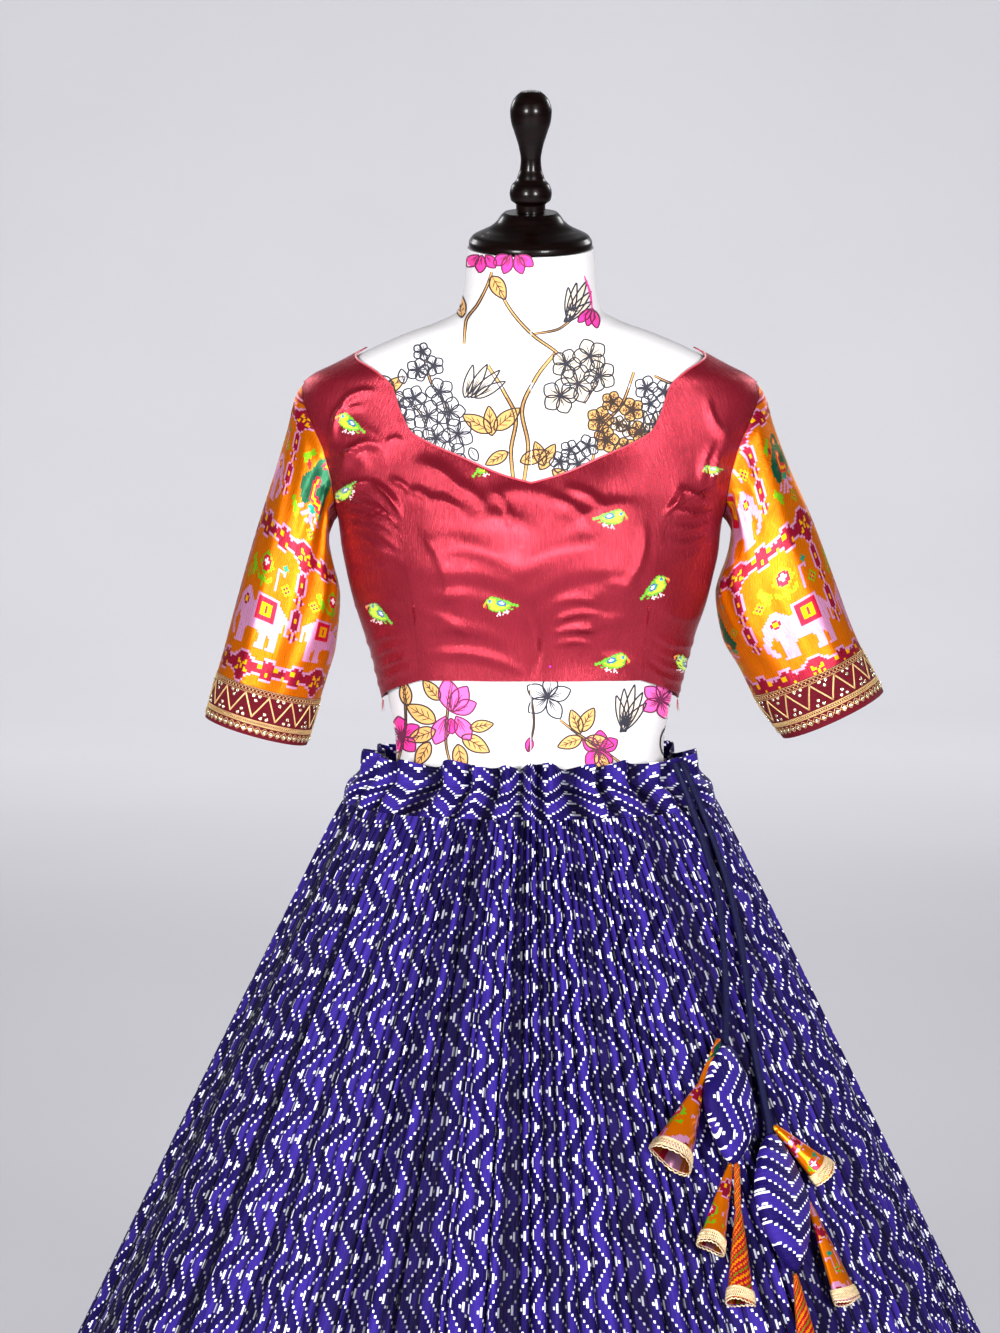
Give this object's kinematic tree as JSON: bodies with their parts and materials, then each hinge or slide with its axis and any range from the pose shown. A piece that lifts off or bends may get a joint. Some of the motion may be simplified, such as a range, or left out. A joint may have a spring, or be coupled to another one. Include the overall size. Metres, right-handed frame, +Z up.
{
  "type": "lehenga choli on dress form",
  "caption": "Lehenga choli: a gathered, flared skirt on a drawstring and a fitted cropped blouse with elbow sleeves, worn by a limbless dress form with a turned neck cap.",
  "frame": {"origin": "centre of the base's underside, on the floor", "axes": "+Z up; the garment's front faces -Y; +X is the viewer's right, the side that the drawstring's ends hang on"},
  "size_m": [1.3089, 1.2953, 1.6402],
  "materials": {
    "choli_satin": "satin",
    "sleeve_print": "satin",
    "sleeve_border": "matte",
    "lace": "satin",
    "skirt_print": "satin",
    "drawstring": "satin",
    "form_cloth": "matte",
    "dark_wood": "gloss"
  },
  "bodies": {
    "root": {"form_torso": "form_cloth", "neck_cap": "dark_wood", "finial": "dark_wood", "pole": "dark_wood", "base": "dark_wood", "choli_front": "choli_satin", "choli_side_front_left": "choli_satin", "choli_side_front_right": "choli_satin", "choli_back_left": "choli_satin", "choli_back_right": "choli_satin", "sleeve_left": "sleeve_print", "sleeve_right": "sleeve_print", "sleeve_border_left": "sleeve_border", "sleeve_border_right": "sleeve_border", "waistband": "skirt_print", "skirt_panel_1": "skirt_print", "skirt_panel_2": "skirt_print", "skirt_panel_3": "skirt_print", "skirt_panel_4": "skirt_print", "drawstring_1": "drawstring", "drawstring_2": "drawstring", "pouch_1": "skirt_print", "pouch_2": "skirt_print", "cone_1": "sleeve_print", "cone_2": "sleeve_print", "cone_3": "sleeve_print", "cone_4": "sleeve_print", "cone_5": "sleeve_print", "cone_6": "sleeve_print", "cone_lace_1": "lace", "cone_lace_2": "lace", "cone_lace_3": "lace", "cone_lace_4": "lace", "cone_lace_5": "lace", "cone_lace_6": "lace"}
  },
  "joints": []
}
